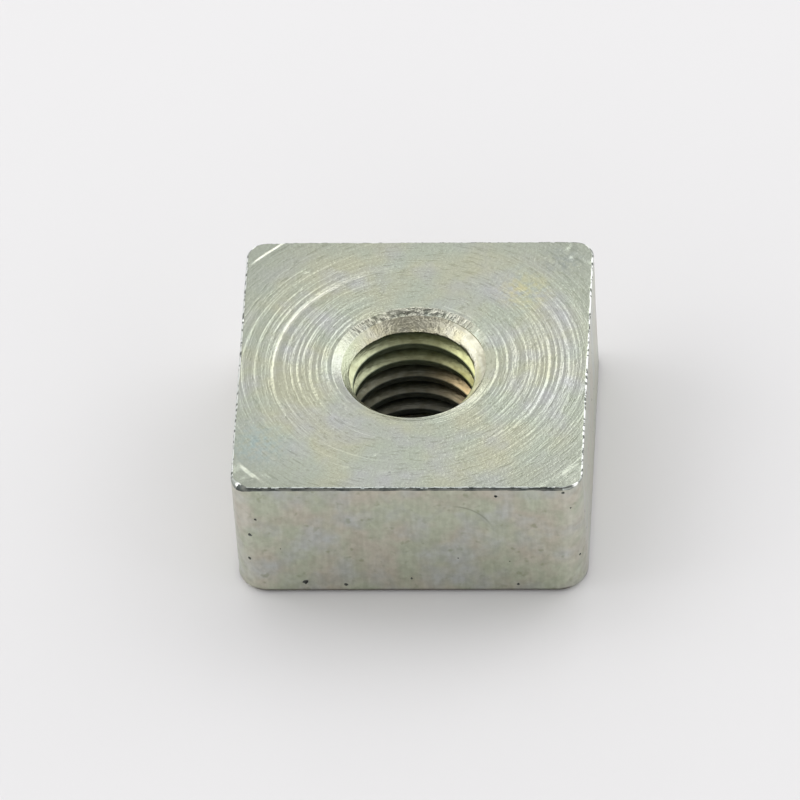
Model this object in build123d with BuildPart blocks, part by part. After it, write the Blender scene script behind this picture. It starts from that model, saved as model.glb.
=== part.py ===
from build123d import *
from build123d.topology import SkipClean
from math import radians, tan
import os

# Square T slot nut: a steel block, 19 mm square and 8 mm thick, with an M8 thread straight
# through its middle. It is one piece. A length of square bar is rounded at its corners and
# along its lower edge, faced on top, bored and countersunk from both sides, and tapped.
# Its origin is the middle of its underside, with +Z along the thread.

# Block, in millimetres
side = 19.0
thickness = 8.0
corner_radius = 1.25
lower_edge_radius = 0.3
upper_edge_break = 0.12

# M8 coarse thread on the ISO metric profile: its crest flat is a quarter of the pitch, its
# root flat an eighth, and its flanks stand 30 degrees off square to the axis
thread_size = 8.0
pitch = 1.25
flank_angle = 30
root_radius = thread_size / 2
crest_flat = pitch / 4
root_flat = pitch / 8
flank_slope = tan(radians(flank_angle))
thread_depth = (pitch - crest_flat - root_flat) / 2 / flank_slope
crest_radius = root_radius - thread_depth

# The tap enters below the block and leaves above it, so both ends of its cut lie in the open.
# Its tooth reaches a little inside the bore's wall, for a clean cut.
thread_start = -1.12
thread_turns = 8
tooth_overlap = 0.12

# Mouths countersunk at 90 degrees, a little wider than the thread. The upper one is opened
# further by a shallow lead-in. The angles are off the axis.
countersink_radius = 4.13
countersink_angle = 45
countersink_slope = tan(radians(countersink_angle))
countersink_depth = (countersink_radius - crest_radius) / countersink_slope
lead_in_radius = 4.43
lead_in_angle = 70
lead_in_slope = tan(radians(lead_in_angle))
lead_in_depth = (lead_in_radius - countersink_radius) / (lead_in_slope - countersink_slope)

# The bore's wall is made in this many equal arcs
wall_arcs = 3

os.makedirs("parts", exist_ok=True)

# One turn of the tap's tooth: a trapezium carried once round the helix that the crests follow
with BuildPart() as tap_turn:
    with BuildLine() as helix:
        Helix(pitch, pitch, crest_radius)
    with BuildSketch(Plane(origin=(crest_radius, 0, 0), x_dir=(1, 0, 0), z_dir=(0, -1, 0))):
        half_tip = root_flat / 2
        half_base = half_tip + (thread_depth + tooth_overlap) * flank_slope
        with BuildLine():
            Polyline(
                (-tooth_overlap, -half_base),
                (thread_depth, -half_tip),
                (thread_depth, half_tip),
                (-tooth_overlap, half_base),
                close=True,
            )
        make_face()
    sweep(path=helix.line, is_frenet=True)

# Bore, both countersinks and the lead-in as one half section, turned through one arc
with BuildPart() as bore_arc:
    with BuildSketch(Plane.XZ):
        with BuildLine():
            Polyline(
                (0, 0),
                (countersink_radius, 0),
                (crest_radius, countersink_depth),
                (crest_radius, thickness - countersink_depth),
                (lead_in_radius - lead_in_depth * lead_in_slope, thickness - lead_in_depth),
                (lead_in_radius, thickness),
                (0, thickness),
                close=True,
            )
        make_face()
    revolve(axis=Axis.Z, revolution_arc=360 / wall_arcs)

with BuildPart() as square_nut:
    # Block of square bar, with its lower edge rolled over and its upper edge barely broken
    with BuildSketch():
        RectangleRounded(side, side, corner_radius)
    extrude(amount=thickness)
    lower_edges = square_nut.faces().sort_by(Axis.Z)[0].edges()
    fillet(lower_edges, lower_edge_radius)
    upper_edges = square_nut.faces().sort_by(Axis.Z)[-1].edges()
    chamfer(upper_edges, upper_edge_break)

    # The cuts below leave their faces unmerged, so each crest of the thread is a run of short
    # lands and not one face that coils up the bore
    with SkipClean():
        # Bore and countersinks, arc by arc
        with PolarLocations(0, wall_arcs):
            add(bore_arc.part, mode=Mode.SUBTRACT)
        # Thread, one turn of the tap at a time
        with Locations([(0, 0, thread_start + pitch * turn) for turn in range(thread_turns)]):
            add(tap_turn.part, mode=Mode.SUBTRACT)

square_nut.part.label = "square_nut"
export_step(square_nut.part, "parts/square_nut.step")
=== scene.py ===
import random
import bpy
from math import atan2, cos, dist, exp, hypot, pi, radians, sin, tan, tau
from mathutils import Matrix, Vector, noise


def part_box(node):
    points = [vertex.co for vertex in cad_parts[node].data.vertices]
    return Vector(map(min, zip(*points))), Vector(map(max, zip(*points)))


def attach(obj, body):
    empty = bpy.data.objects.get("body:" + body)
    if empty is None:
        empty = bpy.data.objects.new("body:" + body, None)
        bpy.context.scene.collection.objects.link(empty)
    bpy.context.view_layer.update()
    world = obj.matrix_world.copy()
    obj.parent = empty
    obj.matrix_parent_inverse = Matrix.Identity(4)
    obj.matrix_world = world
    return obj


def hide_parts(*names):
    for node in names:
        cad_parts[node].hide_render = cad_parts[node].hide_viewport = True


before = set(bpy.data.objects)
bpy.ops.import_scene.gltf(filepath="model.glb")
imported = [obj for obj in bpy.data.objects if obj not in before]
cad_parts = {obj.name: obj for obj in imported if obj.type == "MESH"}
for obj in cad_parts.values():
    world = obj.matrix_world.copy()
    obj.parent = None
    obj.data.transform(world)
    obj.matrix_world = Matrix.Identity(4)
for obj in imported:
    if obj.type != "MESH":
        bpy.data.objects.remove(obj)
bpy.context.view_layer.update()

# ==============================================================================================
# Square nut: one block of drawn steel bar, faced on top in a lathe, bored, countersunk, tapped
# and zinc plated all over. The facing tool leaves rings round the bore, the countersink tears
# the metal on one side of its mouth, and the plating has a faint bloom of colour.
# ==============================================================================================

# Block, in millimetres
MM = 0.001
low, high = (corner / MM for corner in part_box("square_nut"))
side = high.x - low.x
thickness = high.z
upper_corner = 1.1
lower_corner = 1.7
lower_roll = 0.3
upper_roll = 0.095
back_roll = 0.07
front_roll = 0.15
front_left_roll = 0.3
front_left_corner = (-9.1, -9.1)
side_waviness = 0.012

# Thread, countersinks at 90 degrees, and the shallow lead-in round the upper one
pitch = 1.25
root_radius = 4.0
root_flat = pitch / 8
crest_flat = pitch / 4
thread_depth = (pitch - crest_flat - root_flat) / 2 / tan(radians(30))
crest_radius = root_radius - thread_depth
thread_start = -1.12
thread_turns = 8
countersink_radius = 4.13
lead_in_radius = 4.43
lead_in_slope = tan(radians(70))
lead_in_depth = (lead_in_radius - countersink_radius) / (lead_in_slope - 1)

# Marks that the facing tool leaves: fine and broad rings, short dashes, a deeper ring between
# its two passes, a fine groove round the mouth, and the end of its reach, a little off centre,
# which leaves the four corners as a land of their own
face_drop = 0.03
fine_spacing = 0.15
fine_height = 0.018
broad_spacing = 0.45
broad_height = 0.008
dash_spacing = 0.11
dash_height = 0.003
pass_ring = 7.55
ring_width = 0.14
ring_depth = 0.034
inner_ring = 4.62
inner_ring_width = 0.08
inner_ring_depth = 0.02
tool_reach = 11.95
reach_offset = 0.18
reach_drop = 0.05
reach_slope = 0.11

# Marks that the countersinking cutter leaves: torn metal and chatter on the far side of the
# mouth, and scallops at its left
tear_depth = 0.038
fine_chatter = 0.018
coarse_chatter = 0.02
scallop_depth = 0.02
lead_in_softness = 0.01

# Pits in the front, as across, height and radius. The other sides have a few at random. A pit's
# depth and the width of its floor are shares of its radius.
front_pits = [(-5.8, 0.83, 0.17), (-3.58, 0.62, 0.12), (0.02, 1.08, 0.08), (5.75, 0.64, 0.09),
              (-8.32, 5.65, 0.08), (-8.64, 4.38, 0.12), (-8.77, 2.43, 0.11),
              (4.92, 7.4, 0.1), (8.42, 7.65, 0.1), (8.78, 6.42, 0.06), (9.9, 2.3, 0.09),
              (2.59, 2.66, 0.05), (-6.9, 3.4, 0.04), (5.28, 2.42, 0.04)]
pit_depth = 0.6
pit_floor = 0.6
other_pits = 36

# Dents in the top, as place, heading in degrees, length, width and depth
top_dents = [(8.23, 9.0, 60, 0.5, 0.13, 0.05), (8.43, 8.17, 70, 0.35, 0.12, 0.05),
             (-6.13, 7.23, 20, 0.4, 0.14, 0.05), (-0.89, -8.24, 5, 0.9, 0.11, 0.04),
             (-1.6, -6.95, 0, 0.6, 0.11, 0.04), (-3.2, -7.9, 10, 0.5, 0.1, 0.04),
             (2.4, -8.5, -5, 0.7, 0.1, 0.04), (-8.5, -8.6, 30, 0.5, 0.13, 0.05),
             (-7.57, -8.53, -42, 0.8, 0.12, 0.035)]

# Fineness of the mesh
columns = 368
face_step = 0.075
lead_in_steps = 10
side_step = 0.25
side_start = 0.45
roll_steps = 6
underside_steps = 8
thread_phases = [-0.625, -0.52, -0.469, -0.43, -0.35, -0.26, -0.17, -0.078,
                 0.0, 0.078, 0.17, 0.26, 0.35, 0.43, 0.469, 0.52]


def wander(x, y, z):
    """Smooth noise, about -1 to 1, that is the same in every run."""
    return noise.noise(Vector((x, y, z)))


def smooth(value, start, end):
    """0 before start, 1 after end, and a smooth rise between them."""
    share = min(max((value - start) / (end - start), 0), 1)
    return share * share * (3 - 2 * share)


def outline_point(share, corner):
    """A point this share of the way round a square with round corners, and its outward angle."""
    flat = side / 2 - corner
    arc = corner * pi / 2
    quarter, along = divmod(share * 4, 1)
    along *= 2 * flat + arc
    if along < flat:
        x, y, outward = side / 2, along, 0.0
    elif along < flat + arc:
        outward = (along - flat) / corner
        x, y = flat + corner * cos(outward), flat + corner * sin(outward)
    else:
        x, y, outward = 2 * flat + arc - along, side / 2, pi / 2
    turn = quarter * pi / 2
    return x * cos(turn) - y * sin(turn), x * sin(turn) + y * cos(turn), outward + turn


def outline_at(column, height, distance):
    """A column's point on the block's outline at a height, moved in by a distance."""
    corner = lower_corner + (upper_corner - lower_corner) * smooth(height, 0, thickness)
    x, y, outward = outline_point(column / columns, corner)
    return x - distance * cos(outward), y - distance * sin(outward)


def roll_at(column):
    """How far the upper edge is rolled over: uneven, wider in front and at its left corner."""
    x, y, outward = outline_point(column / columns, upper_corner)
    frontward = smooth(-sin(outward), 0.5, 0.9)
    near_corner = exp(-((dist((x, y), front_left_corner) / 0.5) ** 2))
    uneven = 0.025 * wander(x * 1.3, y * 1.3, 3) + 0.04 * wander(x * 4.5, y * 4.5, 7)
    even = upper_roll + (front_roll - upper_roll) * frontward
    even += (back_roll - upper_roll) * smooth(sin(outward), 0.5, 0.9)
    return max(even + (front_left_roll - even) * near_corner + uneven, 0.05)


def thread_radius(angle, height):
    """Radius of the tapped wall, the groove's trapezium following a right-hand helix."""
    groove = thread_start + pitch * angle / tau
    off_centre = abs((height - groove + pitch / 2) % pitch - pitch / 2)
    flank = (off_centre - root_flat / 2) / (pitch / 2 - root_flat / 2 - crest_flat / 2)
    return root_radius - thread_depth * min(max(flank, 0), 1)


def torn_at(angle):
    """Share to which the cutter tore the mouth: fully on the far side, not at all in front."""
    return smooth(sin(angle), 0.35, 0.85)


def bore_radius(angle, height):
    """Radius of the bore's wall: the thread, or a countersink where that is wider."""
    x, y = cos(angle), sin(angle)
    chatter = fine_chatter * wander(x * 30, y * 30, height * 12)
    chatter += coarse_chatter * wander(x * 13, y * 13, height * 4)
    scallops = scallop_depth * smooth(-x, 0.2, 0.7) * wander(x * 22, y * 22, 2)
    upper = countersink_radius - (thickness - height) + torn_at(angle) * chatter + scallops
    return max(thread_radius(angle, height), upper, countersink_radius - height)


def dents_at(x, y):
    """Depth of the dents at a place on the top."""
    depth = 0
    for dent_x, dent_y, heading, length, width, deepest in top_dents:
        across, up = x - dent_x, y - dent_y
        if abs(across) < 1 and abs(up) < 1:
            turn = radians(heading)
            along = (across * cos(turn) + up * sin(turn)) / (length / 2)
            aside = (up * cos(turn) - across * sin(turn)) / (width / 2)
            depth += deepest * exp(-along * along - aside * aside)
    return depth


def face_height(radius, angle):
    """Height of the faced top: its rings, its lower corners, and the lead-in round the mouth."""
    x, y = cos(angle), sin(angle)
    in_reach = 1 - 0.6 * smooth(radius, tool_reach - 0.3, tool_reach + 0.3)
    rings = fine_height * wander(radius / fine_spacing, x * 1.1, y * 1.1)
    rings += broad_height * wander(radius / broad_spacing, x + 9, y)
    # The rings are weaker in front and behind, in a calm patch at the front right, and outwards
    calm = smooth(cos(angle + radians(60)), 0.6, 1.0) * smooth(radius, 4.8, 6.2)
    rings *= (0.4 + 0.6 * x * x) * (1 - 0.75 * smooth(radius, 8.4, 10.5)) * (1 - 0.5 * calm)
    dashes = dash_height * wander(radius / dash_spacing, x * 7, y * 7)
    far_left = smooth(cos(angle - radians(150)), 0.5, 0.95)
    strength = 0.3 + 0.7 * far_left + 0.3 * wander(x * 3, y * 3, 5)
    ring = ring_depth * strength * exp(-(((radius - pass_ring) / ring_width) ** 2))
    ring += inner_ring_depth * exp(-(((radius - inner_ring) / inner_ring_width) ** 2))
    reach = tool_reach + reach_offset * y + 0.06 * wander(x * 8, y * 8, 4)
    in_patches = smooth(wander(x * 9, y * 9, 98.05), -0.25, 0.2)
    beyond_reach = smooth(radius, reach - reach_slope, reach + reach_slope)
    corner = reach_drop * (0.15 + 0.85 * in_patches) * beyond_reach
    inward = (lead_in_radius - radius) / lead_in_slope
    lead_in = (inward + hypot(inward, lead_in_softness)) / 2
    near_mouth = 1 - smooth(radius, lead_in_radius - 0.05, lead_in_radius + 0.2)
    tears = 0.5 + 0.6 * wander(x * 26, y * 26, radius * 1.2) + 0.6 * wander(x * 60, y * 60, radius * 4)
    torn = torn_at(angle) * near_mouth * tear_depth * max(tears, 0)
    marks = (rings + dashes) * in_reach * (1 - 0.7 * near_mouth)
    return thickness - face_drop + marks - ring - corner - lead_in - torn


# The mesh is a grid of rows and columns. The rows run up the bore, out over the top, down the
# sides and in over the underside. A row in the bore follows the thread's helix. The kinds of
# face number the finishes, in the order in which these are added further down.
THREAD, COUNTERSINK, TOP, SIDES, EDGE_WITH_PAINTED_GLINTS, DARK_EDGE = range(6)
edge_points = [outline_at(column, thickness, roll_at(column)) for column in range(columns)]
column_angles = [atan2(y, x) % tau for x, y in edge_points]
rows = []
row_kinds = []


def add_row(kind, points):
    """Keep a row of points, and what the faces between it and the row before it are part of."""
    rows.append(points)
    row_kinds.append(kind)


def top_point(radius, angle):
    """A point on the faced top."""
    x, y = radius * cos(angle), radius * sin(angle)
    return x, y, min(face_height(radius, angle) - dents_at(x, y), thickness)


mouth_height = thickness - face_drop - lead_in_depth
for row in range(thread_turns * len(thread_phases) + 1):
    turn, phase = divmod(row, len(thread_phases))
    points = []
    for angle in column_angles:
        height = thread_start + pitch * (turn + angle / tau) + thread_phases[phase]
        height = min(max(height, 0), mouth_height)
        radius = bore_radius(angle, height)
        points.append((radius * cos(angle), radius * sin(angle), height))
    add_row(THREAD, points)
bore_rows = len(rows)

for step in range(1, lead_in_steps + 1):
    points = []
    for angle in column_angles:
        inner = bore_radius(angle, mouth_height)
        points.append(top_point(inner + (lead_in_radius - inner) * step / lead_in_steps, angle))
    add_row(TOP, points)

radius = lead_in_radius + face_step / 2
while radius < side / 2 * 2 ** 0.5:
    points = []
    for (x, y), angle in zip(edge_points, column_angles):
        points.append(top_point(min(radius, hypot(x, y)), angle))
    add_row(TOP, points)
    radius += face_step

for step in range(1, roll_steps + 1):
    turn = step / roll_steps * pi / 2
    points = []
    for column in range(columns):
        roll = roll_at(column)
        edge = top_point(hypot(*edge_points[column]), column_angles[column])[2]
        x, y = outline_at(column, thickness, roll * (1 - sin(turn)))
        points.append((x, y, edge - roll * (1 - cos(turn))))
    add_row(EDGE_WITH_PAINTED_GLINTS, points)

first_side_row = len(rows)
height = thickness - side_start
while height > lower_roll + side_step / 2:
    points = []
    for column in range(columns):
        x, y = outline_at(column, height, 0)
        inset = side_waviness + side_waviness * wander(x * 0.5, y * 0.5, height * 0.5)
        points.append((*outline_at(column, height, inset), height))
    add_row(SIDES, points)
    height -= side_step
last_side_row = len(rows) - 1

for step in range(roll_steps + 1):
    turn = step / roll_steps * pi / 2
    height = lower_roll * (1 - sin(turn))
    points = []
    for column in range(columns):
        x, y = outline_at(column, height, lower_roll * (1 - cos(turn)))
        points.append((x, y, height))
    add_row(SIDES, points)

for step in range(1, underside_steps + 1):
    share = step / underside_steps
    points = []
    for column, angle in enumerate(column_angles):
        x, y = outline_at(column, 0, lower_roll)
        x += (countersink_radius * cos(angle) - x) * share
        y += (countersink_radius * sin(angle) - y) * share
        points.append((x, y, 0.0))
    add_row(SIDES, points)


def kind_of(row, corners):
    """What a face is part of. The cones are countersunk, and the front's upper edge is painted dark as
    shade.
    """
    x, y, z = (sum(values) / len(corners) for values in zip(*corners))
    if row < bore_rows:
        cone = countersink_radius - min(z, thickness - z)
        return COUNTERSINK if abs(hypot(x, y) - cone) < 0.07 else THREAD
    if row_kinds[row] == EDGE_WITH_PAINTED_GLINTS and y < -side / 2 + 0.4:
        lip = 0.02 + 0.03 * wander(x * 2.5, 0, 11) + 0.03 * wander(x * 7, 0, 5)
        lip += 0.2 * smooth(x, 8.3, 8.7)
        return DARK_EDGE if z < thickness - face_drop - lip else EDGE_WITH_PAINTED_GLINTS
    return row_kinds[row]


def pit_places():
    """The grid places of the pits with their radius and lift: the front's listed, others random."""
    wanted = [(x, -side / 2, z, radius) for x, z, radius in front_pits]
    chance = random.Random(19)
    for _ in range(other_pits):
        across = chance.uniform(-side / 2 + 1.2, side / 2 - 1.2)
        z = chance.uniform(0.8, thickness - 0.8)
        x, y = chance.choice([(side / 2, across), (-side / 2, across), (across, side / 2)])
        wanted.append((x, y, z, chance.uniform(0.04, 0.09)))
    places = {}
    for x, y, z, radius in wanted:
        row = min(range(first_side_row, last_side_row + 1), key=lambda row: abs(rows[row][0][2] - z))
        column = min(range(1, columns - 1),
                     key=lambda column: hypot(rows[row][column][0] - x, rows[row][column][1] - y))
        near = any(abs(row - other) < 3 and abs(column - beside) < 3 for other, beside in places)
        if not near:
            places[row, column] = radius, min(max(z - rows[row][column][2], -0.08), 0.08)
    return places


def build_nut():
    """Join the rows into one closed mesh. Points that fall together become one."""
    pits = pit_places()
    numbers = {}
    vertices = []
    for row, points in enumerate(rows):
        for column, point in enumerate(points):
            key = tuple(round(value, 5) for value in point)
            if key not in numbers and (row, column) not in pits:
                numbers[key] = len(vertices)
                vertices.append(point)

    def number(row, column):
        if column == columns:
            # Past a full turn each row in the bore meets the one a pitch higher
            column = 0
            if row < bore_rows:
                row = min(row + len(thread_phases), bore_rows - 1)
        return numbers[tuple(round(value, 5) for value in rows[row][column])]

    faces, kinds = [], []
    chance = random.Random(8)
    pitted = set()
    for (row, column), (radius, lift) in pits.items():
        # A pit takes the place of the four faces round one point of the grid
        pitted |= {(row - up, column - along) for up in (0, 1) for along in (0, 1)}
        centre = Vector(rows[row][column])
        around = [(-1, -1), (0, -1), (1, -1), (1, 0), (1, 1), (0, 1), (-1, 1), (-1, 0)]
        outer = [number(row + up, column + along) for up, along in around]
        outward = (Vector(vertices[outer[3]]) - centre).cross(Vector(vertices[outer[5]]) - centre)
        rim, floor = [], []
        centre.z += lift
        for corner in outer:
            reach = (Vector(vertices[corner]) - centre).normalized() * radius
            reach *= chance.uniform(0.75, 1.25)
            rim.append(len(vertices))
            vertices.append(tuple(centre + reach))
            floor.append(len(vertices))
            vertices.append(tuple(centre + reach * pit_floor - outward.normalized() * radius * pit_depth))
        # The pit's walls and floor are nearly black, a painted shade
        for place in range(8):
            for near, far in ((outer, rim), (rim, floor)):
                faces.append([near[place - 1], near[place], far[place], far[place - 1]])
                kinds.append(SIDES if near is outer else DARK_EDGE)
        faces.append(floor)
        kinds.append(DARK_EDGE)
    for row in range(len(rows) - 1):
        for column in range(columns):
            if (row, column) in pitted:
                continue
            loop = [number(row, column), number(row + 1, column),
                    number(row + 1, column + 1), number(row, column + 1)]
            loop = [corner for place, corner in enumerate(loop) if corner != loop[place - 1]]
            if len(set(loop)) > 2:
                faces.append(loop)
                kinds.append(kind_of(row + 1, [vertices[corner] for corner in loop]))
    mesh = bpy.data.meshes.new("square_nut_plated")
    mesh.from_pydata([Vector(point) * MM for point in vertices], [], faces)
    mesh.polygons.foreach_set("material_index", kinds)
    mesh.polygons.foreach_set("use_smooth", [True] * len(faces))
    mesh.set_sharp_from_angle(angle=radians(32))
    mesh.update()
    return mesh


nut_mesh = build_nut()
nut = bpy.data.objects.new("square_nut_plated", nut_mesh)
bpy.context.scene.collection.objects.link(nut)
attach(nut, "root")
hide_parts("square_nut")


def colour(code):
    """An sRGB hex value as the linear colour that a shader takes."""
    channels = [int(code[place:place + 2], 16) / 255 for place in (1, 3, 5)]
    return [c / 12.92 if c <= 0.04045 else ((c + 0.055) / 1.055) ** 2.4 for c in channels] + [1.0]


def add_node(tree, kind, feeds=(), **settings):
    """Add a node with its settings. Its sockets, named or in the order shown, take values or nodes."""
    new = tree.nodes.new(kind)
    for name, value in settings.items():
        setattr(new, name, value)
    shown = [socket for socket in new.inputs if socket.enabled]
    for name, value in feeds.items() if isinstance(feeds, dict) else enumerate(feeds):
        socket = new.inputs[name] if isinstance(name, str) else shown[name]
        if isinstance(value, bpy.types.Node):
            value = next(result for result in value.outputs if result.enabled)
        if isinstance(value, bpy.types.NodeSocket):
            tree.links.new(value, socket)
        else:
            socket.default_value = value
    return new


def start_material(name):
    """A new material on the nut: its node tree, and the surface's place in millimetres."""
    material = bpy.data.materials.new(name)
    material.use_nodes = True
    material.node_tree.nodes.clear()
    nut_mesh.materials.append(material)
    tree = material.node_tree
    place = add_node(tree, "ShaderNodeTexCoord").outputs["Object"]
    return tree, add_node(tree, "ShaderNodeVectorMath", [place, 1 / MM], operation="SCALE")


def finish_metal(tree, tint, roughness, reliefs=(), **settings):
    """Close a metal's tree: its colour, its roughness, and reliefs with their millimetres of depth."""
    feeds = {"Base Color": tint, "Metallic": 1.0, "Roughness": roughness}
    for height, depth in reliefs:
        bumps = {"Height": height, "Distance": depth * MM, "Strength": 1.0}
        if "Normal" in feeds:
            bumps["Normal"] = feeds["Normal"]
        feeds["Normal"] = add_node(tree, "ShaderNodeBump", bumps)
    feeds.update({name.replace("_", " "): value for name, value in settings.items()})
    metal = add_node(tree, "ShaderNodeBsdfPrincipled", feeds)
    add_node(tree, "ShaderNodeOutputMaterial", {"Surface": metal})


def mottled(tree, place, per_mm, detail, start, end):
    """Patches with this many a millimetre, their noise stretched from 0 at start to 1 at end."""
    grains = add_node(tree, "ShaderNodeTexNoise", [place, per_mm, detail])
    return add_node(tree, "ShaderNodeMapRange", [grains, start, end])


def within(tree, limits, share=None):
    """A share, or 1 if none is given, cut by limits: each a value, where it leaves none, and all."""
    for value, none, full in limits:
        kept = add_node(tree, "ShaderNodeMapRange", [value, none, full])
        if share is not None:
            kept = add_node(tree, "ShaderNodeMath", [share, kept], operation="MULTIPLY")
        share = kept
    return share


def beside_circle(tree, reach, radius):
    """How far off a circle a place lies, in millimetres, from its distance to the circle's centre."""
    beyond = add_node(tree, "ShaderNodeMath", [reach, radius], operation="SUBTRACT")
    return add_node(tree, "ShaderNodeMath", [beyond], operation="ABSOLUTE")


# Tapped steel, plated thinly: the zinc is yellow-green at the mouth and browner further down the
# bore. Painted light makes its right lighter and painted shade its left greyer, and a painted
# shade darkens one band of the thread at the right. Painted shade also darkens the far roots and
# the crests, and a mottled grime lies over the whole bore.
tree, place = start_material("thin_zinc_in_tapped_bore")
parts = add_node(tree, "ShaderNodeSeparateXYZ", [place]).outputs
# The right of the bore is painted lighter and its left greyer: painted light and shade
rightward = within(tree, [(parts["X"], -2.5, 2.5)])
mouth = add_node(tree, "ShaderNodeMix", [
    rightward, colour("#C6CBA8"), colour("#DADCA4"),
], data_type="RGBA")
middle = add_node(tree, "ShaderNodeMix", [
    within(tree, [(parts["X"], 0.2, 2.6)]), colour("#9C9B88"), colour("#EED3A0"),
], data_type="RGBA")
downward = within(tree, [(parts["Z"], 5.2, 4.0)])
tint = add_node(tree, "ShaderNodeMix", [downward, mouth, middle], data_type="RGBA")
for start, end, shade in [(3.0, 1.6, "#A8A799"), (7.0, 7.4, "#C9C8B6")]:
    share = within(tree, [(parts["Z"], start, end)])
    tint = add_node(tree, "ShaderNodeMix", [share, tint, colour(shade)], data_type="RGBA")
# Painted shade on one band of the thread at the right
painted_shade_band = within(tree, [(parts["Z"], 5.1, 4.85), (parts["Z"], 3.95, 4.15), (parts["X"], 1.4, 2.4)])
tint = add_node(tree, "ShaderNodeMix", [
    painted_shade_band, tint, colour("#BFC2AE"),
], data_type="RGBA", blend_type="MULTIPLY")
stretched = add_node(tree, "ShaderNodeVectorMath", [place, (1, 1, 2.5)], operation="MULTIPLY")
grime = add_node(tree, "ShaderNodeMix", [
    mottled(tree, stretched, 2.2, 4, 0.35, 0.62), colour("#A39C84"), colour("#FFFFFF"),
], data_type="RGBA")
tint = add_node(tree, "ShaderNodeMix", [0.45, tint, grime], data_type="RGBA", blend_type="MULTIPLY")
level = add_node(tree, "ShaderNodeVectorMath", [place, (1, 1, 0)], operation="MULTIPLY")
from_axis = add_node(tree, "ShaderNodeVectorMath", [level], operation="LENGTH")
# Painted shade: the far roots below the mouth are darker, and so are the crests
root = within(tree, [(from_axis, crest_radius + 0.16, root_radius - 0.12),
                     (parts["Z"], 7.45, 7.2), (parts["Y"], 0.8, 2.8)])
root = add_node(tree, "ShaderNodeMath", [root, 0.85], operation="MULTIPLY")
crest = within(tree, [(from_axis, crest_radius + 0.06, crest_radius + 0.02)])
for share, shade in [(root, "#6E7A80"), (crest, "#929B9E")]:
    tint = add_node(tree, "ShaderNodeMix", [
        share, tint, colour(shade),
    ], data_type="RGBA", blend_type="MULTIPLY")
stretched = add_node(tree, "ShaderNodeVectorMath", [place, (1, 1, 4)], operation="MULTIPLY")
tapping = mottled(tree, stretched, 3.5, 4, 0.3, 0.7)
finish_metal(tree, tint, 0.3, [(tapping, 0.008)], Metallic=0.75)


def tears_at_mouth(tree, place):
    """How torn the mouth is, 0 to 1, the pattern of its tears, and where the mouth is darker, on its far
    side.
    """
    level = add_node(tree, "ShaderNodeVectorMath", [place, (1, 1, 0)], operation="MULTIPLY")
    heading = add_node(tree, "ShaderNodeVectorMath", [level], operation="NORMALIZE")
    farward = add_node(tree, "ShaderNodeSeparateXYZ", [heading]).outputs["Y"]
    # The tears are drawn out along the radius, and on the darker far side more round the mouth
    turned = add_node(tree, "ShaderNodeVectorMath", [heading, 5.2], operation="SCALE")
    outward = add_node(tree, "ShaderNodeVectorMath", [level, 0.3], operation="SCALE")
    turned = add_node(tree, "ShaderNodeVectorMath", [turned, outward], operation="ADD")
    radial = mottled(tree, turned, 5, 5, 0.38, 0.62)
    turned = add_node(tree, "ShaderNodeVectorMath", [heading, 2.4], operation="SCALE")
    reach = add_node(tree, "ShaderNodeVectorMath", [level], operation="LENGTH")
    outward = add_node(tree, "ShaderNodeCombineXYZ", {"Z": reach})
    turned = add_node(tree, "ShaderNodeVectorMath", [turned, outward], operation="ADD")
    round_mouth = mottled(tree, turned, 5, 4, 0.38, 0.6)
    darker_far_side = within(tree, [(farward, 0.78, 0.95)])
    share = add_node(tree, "ShaderNodeMath", [darker_far_side, 0.75], operation="MULTIPLY")
    tears = add_node(tree, "ShaderNodeMix", [share, radial, round_mouth], data_type="RGBA")
    torn = within(tree, [(farward, 0.42, 0.8)])
    patches = mottled(tree, place, 1.6, 2, 0.36, 0.56)
    torn = add_node(tree, "ShaderNodeMath", [torn, patches], operation="MULTIPLY")
    return torn, tears, darker_far_side


# Countersunk mouths: cut metal under bright zinc, roughened by the cutter's chatter
tree, place = start_material("bright_zinc_over_countersink")
parts = add_node(tree, "ShaderNodeSeparateXYZ", [place]).outputs
tint = add_node(tree, "ShaderNodeMix", [
    mottled(tree, place, 1.2, 3, 0.4, 0.6), colour("#CBC9B8"), colour("#C2BEA2"),
], data_type="RGBA")
for part, start, end, shade in [("X", -2.4, -3.6, "#B9BFA6"), ("Y", 2.8, 4.0, "#B4B19E")]:
    share = within(tree, [(parts[part], start, end)])
    tint = add_node(tree, "ShaderNodeMix", [share, tint, colour(shade)], data_type="RGBA")
torn, tears, darker_far_side = tears_at_mouth(tree, place)
far_side_colour = add_node(tree, "ShaderNodeMix", [
    darker_far_side, colour("#B3AF9A"), colour("#7A745F"),
], data_type="RGBA")
torn_metal = add_node(tree, "ShaderNodeMix", [tears, far_side_colour, colour("#E4E0CC")], data_type="RGBA")
share = add_node(tree, "ShaderNodeMath", [torn, 0.3], operation="MULTIPLY")
tint = add_node(tree, "ShaderNodeMix", [share, tint, torn_metal], data_type="RGBA")
grain = mottled(tree, place, 9, 3, 0.3, 0.7)
furrows = add_node(tree, "ShaderNodeMath", [tears, torn], operation="MULTIPLY")
finish_metal(tree, tint, 0.28, [(grain, 0.014), (furrows, 0.01)])

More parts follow.
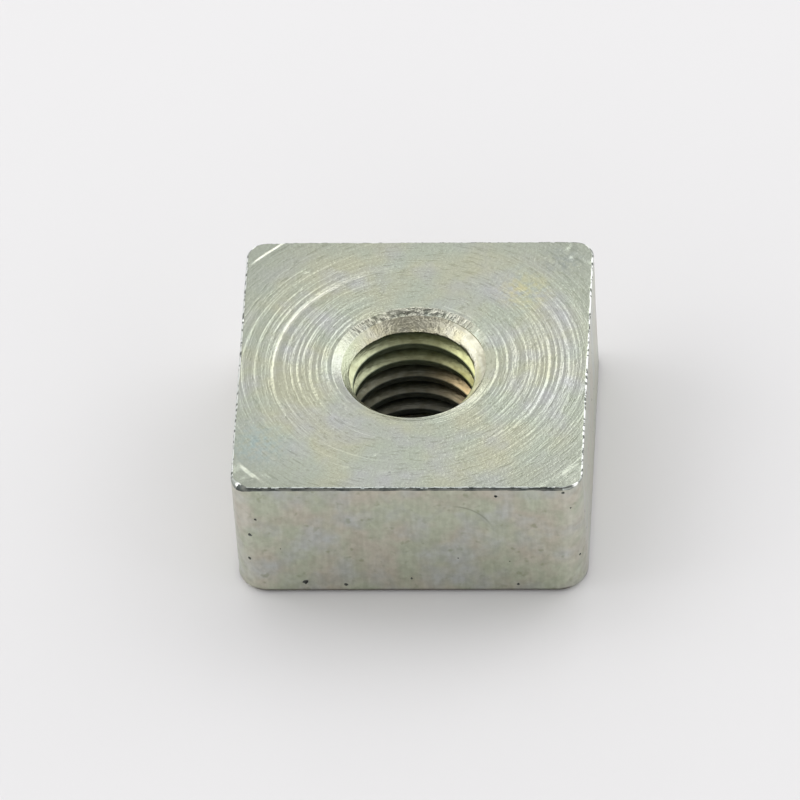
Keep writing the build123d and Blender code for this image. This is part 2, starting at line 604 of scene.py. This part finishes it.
# Faced top: bright zinc over turned steel. The rings shine where they face a window, and the
# film is green and straw coloured in soft patches.
tree, place = start_material("bright_zinc_over_turned_steel")
parts = add_node(tree, "ShaderNodeSeparateXYZ", [place]).outputs
level = add_node(tree, "ShaderNodeVectorMath", [place, (1, 1, 0)], operation="MULTIPLY")
heading = add_node(tree, "ShaderNodeVectorMath", [level], operation="NORMALIZE")
from_axis = add_node(tree, "ShaderNodeVectorMath", [level], operation="LENGTH")
outward = add_node(tree, "ShaderNodeCombineXYZ", {"Z": from_axis})
turned = add_node(tree, "ShaderNodeVectorMath", [heading, 1.6], operation="SCALE")
turned = add_node(tree, "ShaderNodeVectorMath", [turned, outward], operation="ADD")
dashes = mottled(tree, turned, 7, 3, 0.34, 0.46)
turned = add_node(tree, "ShaderNodeVectorMath", [heading, 0.3], operation="SCALE")
turned = add_node(tree, "ShaderNodeVectorMath", [turned, outward], operation="ADD")
rings = mottled(tree, turned, 4.2, 2, 0.3, 0.7)
grain = mottled(tree, place, 6, 3, 0.3, 0.7)
# The film: green, straw and grey clouds, darker towards the corners, under faint dashes and grain
tint = add_node(tree, "ShaderNodeMix", [
    mottled(tree, place, 0.3, 2, 0.4, 0.6), colour("#A8AEA0"), colour("#AEAF9B"),
], data_type="RGBA")
grey_clouds = mottled(tree, place, 0.45, 2, 0.45, 0.75)
outer = within(tree, [(from_axis, 8.8, 12.0)])
for share, shade in [(grey_clouds, "#AAACAA"), (outer, "#9FA498")]:
    tint = add_node(tree, "ShaderNodeMix", [share, tint, colour(shade)], data_type="RGBA")
for share, pattern in [(0.3, dashes), (0.15, grain)]:
    shades = add_node(tree, "ShaderNodeMix", [
        pattern, colour("#B7B9AC"), colour("#FFFFFF"),
    ], data_type="RGBA")
    tint = add_node(tree, "ShaderNodeMix", [
        share, tint, shades,
    ], data_type="RGBA", blend_type="MULTIPLY")
# Torn metal on the lead-in
torn, tears, darker_far_side = tears_at_mouth(tree, place)
far_side_colour = add_node(tree, "ShaderNodeMix", [
    darker_far_side, colour("#8E8B7A"), colour("#4C483D"),
], data_type="RGBA")
torn_metal = add_node(tree, "ShaderNodeMix", [tears, far_side_colour, colour("#DAD8C8")], data_type="RGBA")
torn = within(tree, [(from_axis, lead_in_radius + 0.06, lead_in_radius - 0.02)], torn)
share = add_node(tree, "ShaderNodeMath", [torn, 0.65], operation="MULTIPLY")
tint = add_node(tree, "ShaderNodeMix", [share, tint, torn_metal], data_type="RGBA")
# Painted highlights in a pale zinc colour: on the deeper ring's far left, at the end of the tool's
# reach at the left, and on the mouth's left lip
far_left = add_node(tree, "ShaderNodeVectorMath", [heading, (-0.87, 0.5, 0)], operation="DOT_PRODUCT")
beside_ring = beside_circle(tree, from_axis, pass_ring)
on_ring = within(tree, [(beside_ring, 0.13, 0.05), (far_left, 0.76, 0.9)])
reached = add_node(tree, "ShaderNodeVectorMath", [level, (0, reach_offset, 0)], operation="DISTANCE")
beside_end = beside_circle(tree, reached, tool_reach)
at_end = within(tree, [(beside_end, 0.15, 0.07), (parts["X"], -7.2, -7.8),
                       (parts["X"], -9.4, -9.0), (parts["Y"], -18.0, 6.0)])
on_lip = within(tree, [(from_axis, 4.5, 4.4), (parts["X"], -2.9, -3.9)])
highlight_breakup = mottled(tree, place, 1.8, 4, 0.3, 0.6)
on_ring = add_node(tree, "ShaderNodeMath", [on_ring, highlight_breakup], operation="MULTIPLY")
at_end = add_node(tree, "ShaderNodeMath", [at_end, highlight_breakup], operation="MULTIPLY")
for painted_highlight, strength in [(on_ring, 0.55), (at_end, 0.6), (on_lip, 0.15)]:
    share = add_node(tree, "ShaderNodeMath", [painted_highlight, strength], operation="MULTIPLY")
    tint = add_node(tree, "ShaderNodeMix", [share, tint, colour("#DEDECF")], data_type="RGBA")
# Single patches, as place, radius, strength and colour: the first, pale one is a faint painted
# highlight on the front right corner, and the others lie in the film
for x, y, reach, strength, shade in [(8.7, -8.6, 1.4, 0.1, "#DEDECF"), (-8.2, -6.1, 2.2, 0.5, "#93A8AC"),
                                     (5.8, 5.7, 1.9, 0.6, "#BDB685"), (7.9, 7.9, 1.6, 0.5, "#888E8E")]:
    away = add_node(tree, "ShaderNodeVectorMath", [place, (x, y, thickness)], operation="DISTANCE")
    near = within(tree, [(away, reach, 0.3)])
    ragged = mottled(tree, place, 2.6, 4, 0.35, 0.65)
    patch = add_node(tree, "ShaderNodeMath", [near, ragged], operation="MULTIPLY")
    share = add_node(tree, "ShaderNodeMath", [patch, strength], operation="MULTIPLY")
    tint = add_node(tree, "ShaderNodeMix", [share, tint, colour(shade)], data_type="RGBA")
# Relief: rings that fade towards the front right and the corners, dashes, grain and furrows
front_right = add_node(tree, "ShaderNodeVectorMath", [
    heading, (0.5, -0.87, 0),
], operation="DOT_PRODUCT")
rings = within(tree, [(front_right, 1.5, 0.6), (from_axis, 13.0, 8.5)], rings)
furrows = add_node(tree, "ShaderNodeMath", [tears, torn], operation="MULTIPLY")
reliefs = [(rings, 0.014), (dashes, 0.003), (grain, 0.004), (furrows, 0.03)]
around = add_node(tree, "ShaderNodeTangent", direction_type="RADIAL", axis="Z")
finish_metal(tree, tint, 0.2, reliefs, Anisotropic=0.35, Anisotropic_Rotation=0.25, Tangent=around)

# Sides and underside: dull zinc over drawn bar, faintly clouded green, buff and grey, with the
# bar's fine upright draw lines
tree, place = start_material("dull_zinc_over_drawn_bar")
parts = add_node(tree, "ShaderNodeSeparateXYZ", [place]).outputs
tint = add_node(tree, "ShaderNodeMix", [
    mottled(tree, place, 0.45, 3, 0.4, 0.6), colour("#C2C7B4"), colour("#C9C4B6"),
], data_type="RGBA")
grey_clouds = mottled(tree, place, 0.6, 3, 0.46, 0.72)
tint = add_node(tree, "ShaderNodeMix", [grey_clouds, tint, colour("#C4C7C4")], data_type="RGBA")
upright = add_node(tree, "ShaderNodeVectorMath", [place, (1, 1, 0.15)], operation="MULTIPLY")
draw_lines = mottled(tree, upright, 4, 3, 0.3, 0.7)
speckle = mottled(tree, place, 3, 4, 0.35, 0.65)
for pattern, shade in [(draw_lines, "#DCDCD6"), (speckle, "#D0CFC8")]:
    shades = add_node(tree, "ShaderNodeMix", [
        pattern, colour(shade), colour("#FFFFFF"),
    ], data_type="RGBA")
    tint = add_node(tree, "ShaderNodeMix", [
        0.4, tint, shades,
    ], data_type="RGBA", blend_type="MULTIPLY")
# One curved scratch in the front, part of a circle
scratch_centre = (2.38, 0, 4.35)
scratch_radius = 2.25
on_front = add_node(tree, "ShaderNodeVectorMath", [place, (1, 0, 1)], operation="MULTIPLY")
reach = add_node(tree, "ShaderNodeVectorMath", [on_front, scratch_centre], operation="DISTANCE")
beside = beside_circle(tree, reach, scratch_radius)
scratch = within(tree, [(beside, 0.08, 0.02), (parts["Y"], -9.0, -9.3),
                        (parts["X"], 2.4, 2.9), (parts["Z"], 5.0, 5.6)])
smudges = mottled(tree, place, 1.7, 2, 0.62, 0.72)
# Painted sheen, pale, on the upright corners, and painted shade along the foot
mirrored = add_node(tree, "ShaderNodeVectorMath", [place], operation="ABSOLUTE")
mirrored = add_node(tree, "ShaderNodeSeparateXYZ", [mirrored]).outputs
to_corner = add_node(tree, "ShaderNodeMath", [mirrored["X"], mirrored["Y"]], operation="ADD")
painted_corner_sheen = within(tree, [(to_corner, 17.7, 18.1)])
ragged = mottled(tree, place, 1.4, 3, 0.3, 0.7)
painted_corner_sheen = add_node(tree, "ShaderNodeMath", [painted_corner_sheen, ragged], operation="MULTIPLY")
from_middle = add_node(tree, "ShaderNodeMath", [mirrored["X"], mirrored["Y"]], operation="MAXIMUM")
painted_foot_shade = within(tree, [(parts["Z"], 0.34, 0.2), (from_middle, 9.2, 9.35)])
for mark, strength, shade in [(scratch, 0.5, "#7E8474"), (smudges, 0.5, "#8D9278"),
                              (painted_corner_sheen, 0.3, "#ECEBE2"), (painted_foot_shade, 0.85, "#5E5853")]:
    share = add_node(tree, "ShaderNodeMath", [mark, strength], operation="MULTIPLY")
    tint = add_node(tree, "ShaderNodeMix", [share, tint, colour(shade)], data_type="RGBA")
finish_metal(tree, tint, 0.28, [(speckle, 0.005)])

# Upper edges: zinc in pale and dark dots, partly real nicks and partly painted glints, with more
# painted glints, a painted highlight at the very tip of each corner and painted shade round it
tree, place = start_material("zinc_with_painted_glints_on_upper_edges")
grain = mottled(tree, place, 4.2, 2, 0.42, 0.47)
tint = add_node(tree, "ShaderNodeMix", [grain, colour("#5E625C"), colour("#CDD0CC")], data_type="RGBA")
front_tint = add_node(tree, "ShaderNodeMix", [
    grain, colour("#9BA19D"), colour("#C6CCC8"),
], data_type="RGBA")
parts = add_node(tree, "ShaderNodeSeparateXYZ", [place]).outputs
frontward = within(tree, [(parts["Y"], -9.2, -9.4)])
tint = add_node(tree, "ShaderNodeMix", [frontward, tint, front_tint], data_type="RGBA")
glints = mottled(tree, place, 1.9, 1, 0.68, 0.71)
mirrored = add_node(tree, "ShaderNodeVectorMath", [place], operation="ABSOLUTE")
to_tip = add_node(tree, "ShaderNodeVectorMath", [mirrored, (9.12, 9.12, thickness)], operation="DISTANCE")
round_tip = within(tree, [(to_tip, 0.9, 0.5)])
tip = within(tree, [(to_tip, 0.24, 0.14)])
# Painted glints, painted shade round each corner's tip, and a painted highlight at the very tip
for share, shade in [(glints, "#F2F4F0"), (round_tip, "#8F938D"), (tip, "#F2F4F0")]:
    tint = add_node(tree, "ShaderNodeMix", [share, tint, colour(shade)], data_type="RGBA")
finish_metal(tree, tint, 0.28, [(grain, 0.02)])

# Sheared front edge and pits: nearly black, a painted shade
tree, place = start_material("painted_shade_on_front_edge_and_in_pits")
tint = add_node(tree, "ShaderNodeMix", [
    mottled(tree, place, 1.5, 3, 0.4, 0.6), colour("#4A4E4C"), colour("#6E706A"),
], data_type="RGBA")
finish_metal(tree, tint, 0.4)

# ==============================================================================================
# Table top: a plain pale card that the nut lies on, a hair below it so that the two never touch.
# ==============================================================================================
card_size = 0.9
card_height = -0.02 * MM
card_corners = [(x * card_size / 2, y * card_size / 2, card_height)
                for x, y in ((-1, -1), (1, -1), (1, 1), (-1, 1))]
card_mesh = bpy.data.meshes.new("table_card")
card_mesh.from_pydata(card_corners, [], [(0, 1, 2, 3)])
card = bpy.data.objects.new("table_card", card_mesh)
bpy.context.scene.collection.objects.link(card)
pale_card = bpy.data.materials.new("pale_card")
pale_card.use_nodes = True
paper = pale_card.node_tree.nodes["Principled BSDF"]
paper.inputs["Base Color"].default_value = colour("#E1E0E1")
paper.inputs["Roughness"].default_value = 0.8
paper.inputs["Specular IOR Level"].default_value = 0.2
card_mesh.materials.append(pale_card)

# ==============================================================================================
# Light: a pale tent all round, in soft folds, that is open and dim from the camera upwards. Soft
# windows at the left, high behind at the left, behind, and behind at the right shape the shine.
# ==============================================================================================
# How bright the cloth is at the left and right, in front and behind, and in and between its folds
left_glow, right_glow = 1.17, 1.02
front_glow, back_glow = 1.5, 0.93
fold_dark, fold_bright = 0.82, 1.18
fold_count = 10.0
fold_turn = radians(6.5)
# The tent's opening, the cosines off it where the shade starts and is full, and how dim it is
to_opening = Vector((0.04, -0.45, 0.89)).normalized()
shade_start, shade_full = 0.6, 0.93
opening_glow = 0.2
window_distance = 0.5
tent = bpy.data.worlds.new("pale_tent")
bpy.context.scene.world = tent
tent.use_nodes = True
tree = tent.node_tree
tree.nodes.clear()
direction = add_node(tree, "ShaderNodeTexCoord").outputs["Generated"]
heading = add_node(tree, "ShaderNodeSeparateXYZ", [direction]).outputs
azimuth = add_node(tree, "ShaderNodeMath", [heading["X"], heading["Y"]], operation="ARCTAN2")
wave = add_node(tree, "ShaderNodeMath", [
    azimuth, fold_count, fold_count * fold_turn,
], operation="MULTIPLY_ADD")
wave = add_node(tree, "ShaderNodeMath", [wave], operation="SINE")
across = add_node(tree, "ShaderNodeMapRange", [heading["X"], -1.0, 1.0, left_glow, right_glow])
along = add_node(tree, "ShaderNodeMapRange", [heading["Y"], -1.0, 1.0, front_glow, back_glow])
folds = add_node(tree, "ShaderNodeMapRange", [wave, -1.0, 1.0, fold_dark, fold_bright])
toward = add_node(tree, "ShaderNodeVectorMath", [direction, to_opening], operation="DOT_PRODUCT")
shade = add_node(tree, "ShaderNodeMapRange", [
    toward, shade_start, shade_full, 1.0, opening_glow,
], interpolation_type="SMOOTHSTEP")
cloth = across
for dimming in (along, folds, shade):
    cloth = add_node(tree, "ShaderNodeMath", [cloth, dimming], operation="MULTIPLY")
walls = add_node(tree, "ShaderNodeBackground", {"Color": colour("#FFFFFF"), "Strength": cloth})
add_node(tree, "ShaderNodeOutputWorld", {"Surface": walls})


def add_window(name, azimuth, elevation, width, height, brightness):
    """A soft lamp that looks at the nut. Azimuth turns from +Y towards +X."""
    lamp = bpy.data.lights.new(name, "AREA")
    lamp.shape = "RECTANGLE"
    lamp.size, lamp.size_y = width, height
    lamp.energy = brightness * pi * width * height
    holder = bpy.data.objects.new(name, lamp)
    bpy.context.scene.collection.objects.link(holder)
    out = Vector((
        sin(radians(azimuth)) * cos(radians(elevation)),
        cos(radians(azimuth)) * cos(radians(elevation)),
        sin(radians(elevation)),
    ))
    holder.location = out * window_distance
    holder.rotation_mode = "QUATERNION"
    holder.rotation_quaternion = out.to_track_quat("Z", "Y")


add_window("left_window", -85, 40, 0.36, 0.36, 0.9)
add_window("low_back_window", -16, 20, 0.14, 0.12, 1.8)
add_window("upper_left_window", -42, 60, 0.24, 0.22, 0.7)
add_window("back_strip_window", 14, 48, 0.12, 0.17, 1.6)
add_window("right_window", 48, 26, 0.34, 0.50, 1.0)

# ==============================================================================================
# Camera: a long lens from the front, half way up. Its distance and aim are in millimetres.
# ==============================================================================================
azimuth, elevation, roll = radians(5.347), radians(44.828), radians(-3.935)
camera_distance = 826.146
aim_right, aim_up = -1.108, 3.710
picture_width = 800
focal_pixels = 15128.7
sensor_width = 36.0
back = Vector((sin(azimuth) * cos(elevation), -cos(azimuth) * cos(elevation), sin(elevation)))
right = Vector((cos(azimuth), sin(azimuth), 0))
up = back.cross(right)
turned_right = right * cos(roll) + up * sin(roll)
turned_up = up * cos(roll) - right * sin(roll)
lens = bpy.data.cameras.new("long_lens")
lens.sensor_fit = "HORIZONTAL"
lens.sensor_width = sensor_width
lens.lens = focal_pixels * sensor_width / picture_width
lens.clip_start, lens.clip_end = 0.05, 10.0
camera = bpy.data.objects.new("camera", lens)
bpy.context.scene.collection.objects.link(camera)
pose = Matrix((turned_right, turned_up, back)).transposed().to_4x4()
pose.translation = (aim_right * turned_right + aim_up * turned_up + camera_distance * back) * MM
camera.matrix_world = pose
bpy.context.scene.camera = camera
bpy.context.scene.view_settings.view_transform = "Standard"
